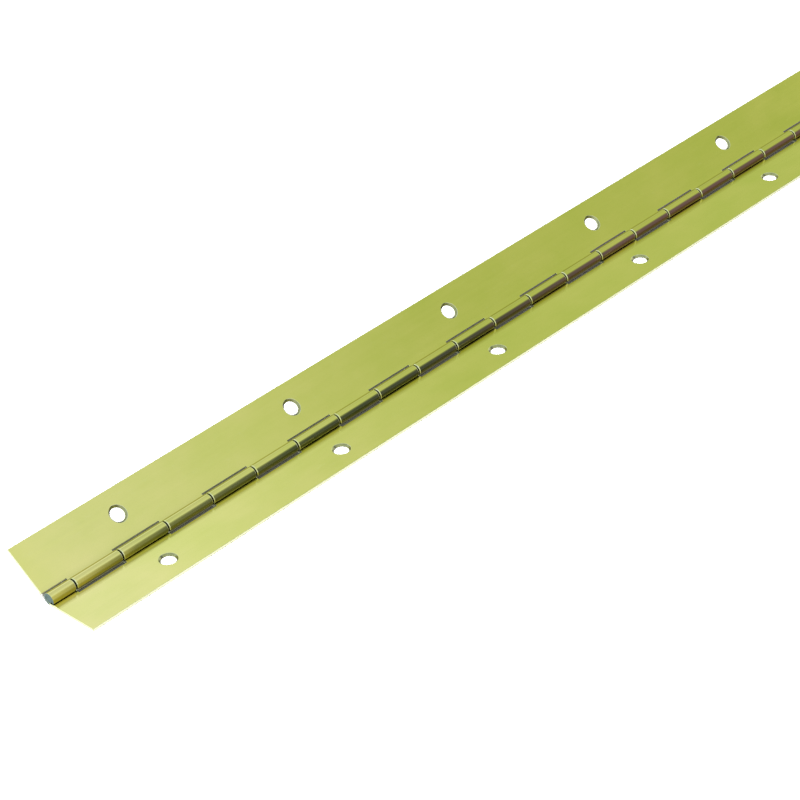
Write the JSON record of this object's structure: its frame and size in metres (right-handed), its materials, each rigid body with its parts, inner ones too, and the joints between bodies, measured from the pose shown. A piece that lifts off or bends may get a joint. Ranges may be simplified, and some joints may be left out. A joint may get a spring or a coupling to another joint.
{
  "type": "piano hinge",
  "caption": "Continuous hinge: two narrow brass-plated leaves with a row of countersunk screw holes each, rolled round one steel pin.",
  "frame": {"origin": "on the back face of the fixed leaf, below the middle of the pin's axis", "axes": "+X along the pin, +Y from the pin towards the swinging leaf, +Z out of the fixed leaf's front face"},
  "size_m": [0.36, 0.0298, 0.0105],
  "materials": {
    "brass_plate": "bright plated",
    "bare_steel": "sawn bare steel"
  },
  "bodies": {
    "fixed": {"fixed_leaf": "brass_plate", "hinge_pin": "bare_steel"},
    "swinging": {"swinging_leaf": "brass_plate"}
  },
  "joints": [
    {"name": "pin_hinge", "type": "hinge", "parent": "fixed", "child": "swinging", "pos_m": [0, 0, 0.00175], "axis": [1, 0, 0], "range_deg": [-127, 143]}
  ]
}
